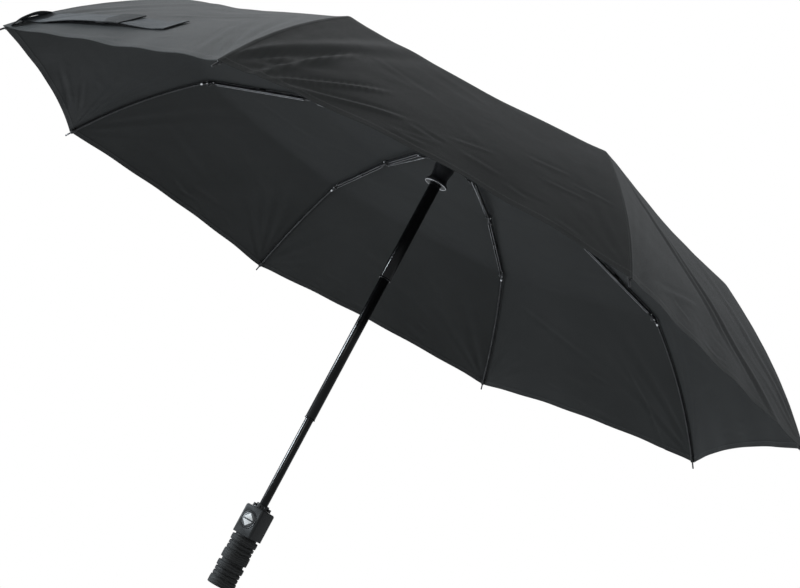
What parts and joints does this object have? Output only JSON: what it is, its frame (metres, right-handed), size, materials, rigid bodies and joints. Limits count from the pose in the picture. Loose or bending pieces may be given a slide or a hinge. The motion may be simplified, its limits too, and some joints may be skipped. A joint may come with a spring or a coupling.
{
  "type": "folding umbrella",
  "caption": "Folding umbrella, open: domed black canopy on jointed folding ribs, telescoping shaft, sliding runner and ribbed handle with a push button.",
  "frame": {"origin": "centre of the flat end of the handle", "axes": "+Z along the shaft towards the canopy, +X the way the push button faces"},
  "size_m": [0.97, 0.97, 0.5852],
  "materials": {
    "housing_plastic": "fine matte moulding",
    "grip_rubber": "ribbed, finely textured",
    "plug_plastic": "matte",
    "button_plastic": "satin",
    "button_ring_plastic": "semi-gloss",
    "rim_plastic": "matte",
    "tube_black": "gloss black",
    "hub_plastic": "satin black",
    "canopy_fabric": "plain woven, slight sheen",
    "strap_fabric": "woven, with hook-and-loop patch",
    "cap_plastic": "satin black",
    "rib_steel": "black coated, worn edges",
    "tail_steel": "black coated, bright tip"
  },
  "bodies": {
    "handle": {"handle_housing": "housing_plastic", "handle_grip": "grip_rubber", "end_plug": "plug_plastic", "button_ring": "button_ring_plastic", "tip_rim": "rim_plastic", "tube_lower": "tube_black"},
    "push_button": {"push_button": "button_plastic"},
    "middle_tube": {"tube_middle": "tube_black"},
    "upper_tube": {"tube_upper": "tube_black", "crown": "hub_plastic", "top_cap": "cap_plastic", "canopy": "canopy_fabric", "tie_strap": "strap_fabric"},
    "runner": {"runner": "hub_plastic"},
    "rib_1_top": {"rib_1_top": "rib_steel"},
    "rib_1_stretcher": {"rib_1_stretcher": "rib_steel"},
    "rib_1_link": {"rib_1_link": "rib_steel"},
    "rib_1_middle": {"rib_1_middle": "rib_steel"},
    "rib_1_tail": {"rib_1_tail": "tail_steel"},
    "rib_2_top": {"rib_2_top": "rib_steel"},
    "rib_2_stretcher": {"rib_2_stretcher": "rib_steel"},
    "rib_2_link": {"rib_2_link": "rib_steel"},
    "rib_2_middle": {"rib_2_middle": "rib_steel"},
    "rib_2_tail": {"rib_2_tail": "tail_steel"},
    "rib_3_top": {"rib_3_top": "rib_steel"},
    "rib_3_stretcher": {"rib_3_stretcher": "rib_steel"},
    "rib_3_link": {"rib_3_link": "rib_steel"},
    "rib_3_middle": {"rib_3_middle": "rib_steel"},
    "rib_3_tail": {"rib_3_tail": "tail_steel"},
    "rib_4_top": {"rib_4_top": "rib_steel"},
    "rib_4_stretcher": {"rib_4_stretcher": "rib_steel"},
    "rib_4_link": {"rib_4_link": "rib_steel"},
    "rib_4_middle": {"rib_4_middle": "rib_steel"},
    "rib_4_tail": {"rib_4_tail": "tail_steel"},
    "rib_5_top": {"rib_5_top": "rib_steel"},
    "rib_5_stretcher": {"rib_5_stretcher": "rib_steel"},
    "rib_5_link": {"rib_5_link": "rib_steel"},
    "rib_5_middle": {"rib_5_middle": "rib_steel"},
    "rib_5_tail": {"rib_5_tail": "tail_steel"},
    "rib_6_top": {"rib_6_top": "rib_steel"},
    "rib_6_stretcher": {"rib_6_stretcher": "rib_steel"},
    "rib_6_link": {"rib_6_link": "rib_steel"},
    "rib_6_middle": {"rib_6_middle": "rib_steel"},
    "rib_6_tail": {"rib_6_tail": "tail_steel"},
    "rib_7_top": {"rib_7_top": "rib_steel"},
    "rib_7_stretcher": {"rib_7_stretcher": "rib_steel"},
    "rib_7_link": {"rib_7_link": "rib_steel"},
    "rib_7_middle": {"rib_7_middle": "rib_steel"},
    "rib_7_tail": {"rib_7_tail": "tail_steel"},
    "rib_8_top": {"rib_8_top": "rib_steel"},
    "rib_8_stretcher": {"rib_8_stretcher": "rib_steel"},
    "rib_8_link": {"rib_8_link": "rib_steel"},
    "rib_8_middle": {"rib_8_middle": "rib_steel"},
    "rib_8_tail": {"rib_8_tail": "tail_steel"}
  },
  "joints": [
    {"name": "button_press", "type": "slide", "parent": "handle", "child": "push_button", "axis": [-1, 0, 0], "range_m": [0, 0.0014], "stiffness_N_per_m": 900, "springref_m": -0.001},
    {"name": "middle_tube_slide", "type": "slide", "parent": "handle", "child": "middle_tube", "axis": [0, 0, -1], "range_m": [0, 0.11]},
    {"name": "upper_tube_slide", "type": "slide", "parent": "middle_tube", "child": "upper_tube", "axis": [0, 0, -1], "range_m": [0, 0.15]},
    {"name": "rib_1_fold", "type": "hinge", "parent": "upper_tube", "child": "rib_1_top", "pos_m": [0.00889, 0.00141, 0.566], "axis": [-0.1564, 0.9877, 0], "range_deg": [0, 82.6], "deforming": ["canopy", "tie_strap"]},
    {"name": "rib_1_stretcher_turn", "type": "hinge", "parent": "rib_1_top", "child": "rib_1_stretcher", "pos_m": [0.09328, 0.01477, 0.55541], "axis": [-0.1564, 0.9877, 0], "range_deg": [-165.2, 0]},
    {"name": "rib_1_middle_turn", "type": "hinge", "parent": "rib_1_top", "child": "rib_1_middle", "pos_m": [0.19616, 0.03107, 0.55352], "axis": [-0.1564, 0.9877, 0], "range_deg": [-185.6, 0]},
    {"name": "rib_1_link_turn", "type": "hinge", "parent": "rib_1_middle", "child": "rib_1_link", "pos_m": [0.18701, 0.02962, 0.54974], "axis": [-0.1564, 0.9877, 0], "range_deg": [0, 180.89]},
    {"name": "rib_1_tail_turn", "type": "hinge", "parent": "rib_1_middle", "child": "rib_1_tail", "pos_m": [0.33708, 0.05339, 0.52228], "axis": [-0.1564, 0.9877, 0], "range_deg": [0, 147.6]},
    {"name": "rib_2_fold", "type": "hinge", "parent": "upper_tube", "child": "rib_2_top", "pos_m": [0.00529, 0.00728, 0.566], "axis": [-0.809, 0.5878, 0], "range_deg": [0, 82.6]},
    {"name": "rib_2_stretcher_turn", "type": "hinge", "parent": "rib_2_top", "child": "rib_2_stretcher", "pos_m": [0.05551, 0.0764, 0.55541], "axis": [-0.809, 0.5878, 0], "range_deg": [-165.2, 0]},
    {"name": "rib_2_middle_turn", "type": "hinge", "parent": "rib_2_top", "child": "rib_2_middle", "pos_m": [0.11673, 0.16067, 0.55352], "axis": [-0.809, 0.5878, 0], "range_deg": [-185.6, 0]},
    {"name": "rib_2_link_turn", "type": "hinge", "parent": "rib_2_middle", "child": "rib_2_link", "pos_m": [0.11129, 0.15318, 0.54974], "axis": [-0.809, 0.5878, 0], "range_deg": [0, 180.89]},
    {"name": "rib_2_tail_turn", "type": "hinge", "parent": "rib_2_middle", "child": "rib_2_tail", "pos_m": [0.2006, 0.2761, 0.52228], "axis": [-0.809, 0.5878, 0], "range_deg": [0, 147.6]},
    {"name": "rib_3_fold", "type": "hinge", "parent": "upper_tube", "child": "rib_3_top", "pos_m": [-0.00141, 0.00889, 0.566], "axis": [-0.9877, -0.1564, 0], "range_deg": [0, 82.6]},
    {"name": "rib_3_stretcher_turn", "type": "hinge", "parent": "rib_3_top", "child": "rib_3_stretcher", "pos_m": [-0.01477, 0.09328, 0.55541], "axis": [-0.9877, -0.1564, 0], "range_deg": [-165.2, 0]},
    {"name": "rib_3_middle_turn", "type": "hinge", "parent": "rib_3_top", "child": "rib_3_middle", "pos_m": [-0.03107, 0.19616, 0.55352], "axis": [-0.9877, -0.1564, 0], "range_deg": [-185.6, 0]},
    {"name": "rib_3_link_turn", "type": "hinge", "parent": "rib_3_middle", "child": "rib_3_link", "pos_m": [-0.02962, 0.18701, 0.54974], "axis": [-0.9877, -0.1564, 0], "range_deg": [0, 180.89]},
    {"name": "rib_3_tail_turn", "type": "hinge", "parent": "rib_3_middle", "child": "rib_3_tail", "pos_m": [-0.05339, 0.33708, 0.52228], "axis": [-0.9877, -0.1564, 0], "range_deg": [0, 147.6]},
    {"name": "rib_4_fold", "type": "hinge", "parent": "upper_tube", "child": "rib_4_top", "pos_m": [-0.00728, 0.00529, 0.566], "axis": [-0.5878, -0.809, 0], "range_deg": [0, 82.6]},
    {"name": "rib_4_stretcher_turn", "type": "hinge", "parent": "rib_4_top", "child": "rib_4_stretcher", "pos_m": [-0.0764, 0.05551, 0.55541], "axis": [-0.5878, -0.809, 0], "range_deg": [-165.2, 0]},
    {"name": "rib_4_middle_turn", "type": "hinge", "parent": "rib_4_top", "child": "rib_4_middle", "pos_m": [-0.16067, 0.11673, 0.55352], "axis": [-0.5878, -0.809, 0], "range_deg": [-185.6, 0]},
    {"name": "rib_4_link_turn", "type": "hinge", "parent": "rib_4_middle", "child": "rib_4_link", "pos_m": [-0.15318, 0.11129, 0.54974], "axis": [-0.5878, -0.809, 0], "range_deg": [0, 180.89]},
    {"name": "rib_4_tail_turn", "type": "hinge", "parent": "rib_4_middle", "child": "rib_4_tail", "pos_m": [-0.2761, 0.2006, 0.52228], "axis": [-0.5878, -0.809, 0], "range_deg": [0, 147.6]},
    {"name": "rib_5_fold", "type": "hinge", "parent": "upper_tube", "child": "rib_5_top", "pos_m": [-0.00889, -0.00141, 0.566], "axis": [0.1564, -0.9877, 0], "range_deg": [0, 82.6]},
    {"name": "rib_5_stretcher_turn", "type": "hinge", "parent": "rib_5_top", "child": "rib_5_stretcher", "pos_m": [-0.09328, -0.01477, 0.55541], "axis": [0.1564, -0.9877, 0], "range_deg": [-165.2, 0]},
    {"name": "rib_5_middle_turn", "type": "hinge", "parent": "rib_5_top", "child": "rib_5_middle", "pos_m": [-0.19616, -0.03107, 0.55352], "axis": [0.1564, -0.9877, 0], "range_deg": [-185.6, 0]},
    {"name": "rib_5_link_turn", "type": "hinge", "parent": "rib_5_middle", "child": "rib_5_link", "pos_m": [-0.18701, -0.02962, 0.54974], "axis": [0.1564, -0.9877, 0], "range_deg": [0, 180.89]},
    {"name": "rib_5_tail_turn", "type": "hinge", "parent": "rib_5_middle", "child": "rib_5_tail", "pos_m": [-0.33708, -0.05339, 0.52228], "axis": [0.1564, -0.9877, 0], "range_deg": [0, 147.6]},
    {"name": "rib_6_fold", "type": "hinge", "parent": "upper_tube", "child": "rib_6_top", "pos_m": [-0.00529, -0.00728, 0.566], "axis": [0.809, -0.5878, 0], "range_deg": [0, 82.6]},
    {"name": "rib_6_stretcher_turn", "type": "hinge", "parent": "rib_6_top", "child": "rib_6_stretcher", "pos_m": [-0.05551, -0.0764, 0.55541], "axis": [0.809, -0.5878, 0], "range_deg": [-165.2, 0]},
    {"name": "rib_6_middle_turn", "type": "hinge", "parent": "rib_6_top", "child": "rib_6_middle", "pos_m": [-0.11673, -0.16067, 0.55352], "axis": [0.809, -0.5878, 0], "range_deg": [-185.6, 0]},
    {"name": "rib_6_link_turn", "type": "hinge", "parent": "rib_6_middle", "child": "rib_6_link", "pos_m": [-0.11129, -0.15318, 0.54974], "axis": [0.809, -0.5878, 0], "range_deg": [0, 180.89]},
    {"name": "rib_6_tail_turn", "type": "hinge", "parent": "rib_6_middle", "child": "rib_6_tail", "pos_m": [-0.2006, -0.2761, 0.52228], "axis": [0.809, -0.5878, 0], "range_deg": [0, 147.6]},
    {"name": "rib_7_fold", "type": "hinge", "parent": "upper_tube", "child": "rib_7_top", "pos_m": [0.00141, -0.00889, 0.566], "axis": [0.9877, 0.1564, 0], "range_deg": [0, 82.6]},
    {"name": "rib_7_stretcher_turn", "type": "hinge", "parent": "rib_7_top", "child": "rib_7_stretcher", "pos_m": [0.01477, -0.09328, 0.55541], "axis": [0.9877, 0.1564, 0], "range_deg": [-165.2, 0]},
    {"name": "rib_7_middle_turn", "type": "hinge", "parent": "rib_7_top", "child": "rib_7_middle", "pos_m": [0.03107, -0.19616, 0.55352], "axis": [0.9877, 0.1564, 0], "range_deg": [-185.6, 0]},
    {"name": "rib_7_link_turn", "type": "hinge", "parent": "rib_7_middle", "child": "rib_7_link", "pos_m": [0.02962, -0.18701, 0.54974], "axis": [0.9877, 0.1564, 0], "range_deg": [0, 180.89]},
    {"name": "rib_7_tail_turn", "type": "hinge", "parent": "rib_7_middle", "child": "rib_7_tail", "pos_m": [0.05339, -0.33708, 0.52228], "axis": [0.9877, 0.1564, 0], "range_deg": [0, 147.6]},
    {"name": "rib_8_fold", "type": "hinge", "parent": "upper_tube", "child": "rib_8_top", "pos_m": [0.00728, -0.00529, 0.566], "axis": [0.5878, 0.809, 0], "range_deg": [0, 82.6]},
    {"name": "rib_8_stretcher_turn", "type": "hinge", "parent": "rib_8_top", "child": "rib_8_stretcher", "pos_m": [0.0764, -0.05551, 0.55541], "axis": [0.5878, 0.809, 0], "range_deg": [-165.2, 0]},
    {"name": "rib_8_middle_turn", "type": "hinge", "parent": "rib_8_top", "child": "rib_8_middle", "pos_m": [0.16067, -0.11673, 0.55352], "axis": [0.5878, 0.809, 0], "range_deg": [-185.6, 0]},
    {"name": "rib_8_link_turn", "type": "hinge", "parent": "rib_8_middle", "child": "rib_8_link", "pos_m": [0.15318, -0.11129, 0.54974], "axis": [0.5878, 0.809, 0], "range_deg": [0, 180.89]},
    {"name": "rib_8_tail_turn", "type": "hinge", "parent": "rib_8_middle", "child": "rib_8_tail", "pos_m": [0.2761, -0.2006, 0.52228], "axis": [0.5878, 0.809, 0], "range_deg": [0, 147.6]},
    {"name": "runner_turn", "type": "hinge", "parent": "rib_1_stretcher", "child": "runner", "pos_m": [0.00889, 0.00141, 0.54483], "axis": [-0.1564, 0.9877, 0], "range_deg": [0, 82.6]}
  ],
  "couplings": [
    {"joint": "rib_1_stretcher_turn", "follows": "rib_1_fold", "ratio": -2},
    {"joint": "rib_1_middle_turn", "follows": "rib_1_fold", "ratio": -2.247},
    {"joint": "rib_1_link_turn", "follows": "rib_1_fold", "ratio": 2.19},
    {"joint": "rib_1_tail_turn", "follows": "rib_1_fold", "ratio": 1.7869},
    {"joint": "rib_2_fold", "follows": "rib_1_fold", "ratio": 1},
    {"joint": "rib_2_stretcher_turn", "follows": "rib_1_fold", "ratio": -2},
    {"joint": "rib_2_middle_turn", "follows": "rib_1_fold", "ratio": -2.247},
    {"joint": "rib_2_link_turn", "follows": "rib_1_fold", "ratio": 2.19},
    {"joint": "rib_2_tail_turn", "follows": "rib_1_fold", "ratio": 1.7869},
    {"joint": "rib_3_fold", "follows": "rib_1_fold", "ratio": 1},
    {"joint": "rib_3_stretcher_turn", "follows": "rib_1_fold", "ratio": -2},
    {"joint": "rib_3_middle_turn", "follows": "rib_1_fold", "ratio": -2.247},
    {"joint": "rib_3_link_turn", "follows": "rib_1_fold", "ratio": 2.19},
    {"joint": "rib_3_tail_turn", "follows": "rib_1_fold", "ratio": 1.7869},
    {"joint": "rib_4_fold", "follows": "rib_1_fold", "ratio": 1},
    {"joint": "rib_4_stretcher_turn", "follows": "rib_1_fold", "ratio": -2},
    {"joint": "rib_4_middle_turn", "follows": "rib_1_fold", "ratio": -2.247},
    {"joint": "rib_4_link_turn", "follows": "rib_1_fold", "ratio": 2.19},
    {"joint": "rib_4_tail_turn", "follows": "rib_1_fold", "ratio": 1.7869},
    {"joint": "rib_5_fold", "follows": "rib_1_fold", "ratio": 1},
    {"joint": "rib_5_stretcher_turn", "follows": "rib_1_fold", "ratio": -2},
    {"joint": "rib_5_middle_turn", "follows": "rib_1_fold", "ratio": -2.247},
    {"joint": "rib_5_link_turn", "follows": "rib_1_fold", "ratio": 2.19},
    {"joint": "rib_5_tail_turn", "follows": "rib_1_fold", "ratio": 1.7869},
    {"joint": "rib_6_fold", "follows": "rib_1_fold", "ratio": 1},
    {"joint": "rib_6_stretcher_turn", "follows": "rib_1_fold", "ratio": -2},
    {"joint": "rib_6_middle_turn", "follows": "rib_1_fold", "ratio": -2.247},
    {"joint": "rib_6_link_turn", "follows": "rib_1_fold", "ratio": 2.19},
    {"joint": "rib_6_tail_turn", "follows": "rib_1_fold", "ratio": 1.7869},
    {"joint": "rib_7_fold", "follows": "rib_1_fold", "ratio": 1},
    {"joint": "rib_7_stretcher_turn", "follows": "rib_1_fold", "ratio": -2},
    {"joint": "rib_7_middle_turn", "follows": "rib_1_fold", "ratio": -2.247},
    {"joint": "rib_7_link_turn", "follows": "rib_1_fold", "ratio": 2.19},
    {"joint": "rib_7_tail_turn", "follows": "rib_1_fold", "ratio": 1.7869},
    {"joint": "rib_8_fold", "follows": "rib_1_fold", "ratio": 1},
    {"joint": "rib_8_stretcher_turn", "follows": "rib_1_fold", "ratio": -2},
    {"joint": "rib_8_middle_turn", "follows": "rib_1_fold", "ratio": -2.247},
    {"joint": "rib_8_link_turn", "follows": "rib_1_fold", "ratio": 2.19},
    {"joint": "rib_8_tail_turn", "follows": "rib_1_fold", "ratio": 1.7869},
    {"joint": "runner_turn", "follows": "rib_1_fold", "ratio": 1}
  ]
}
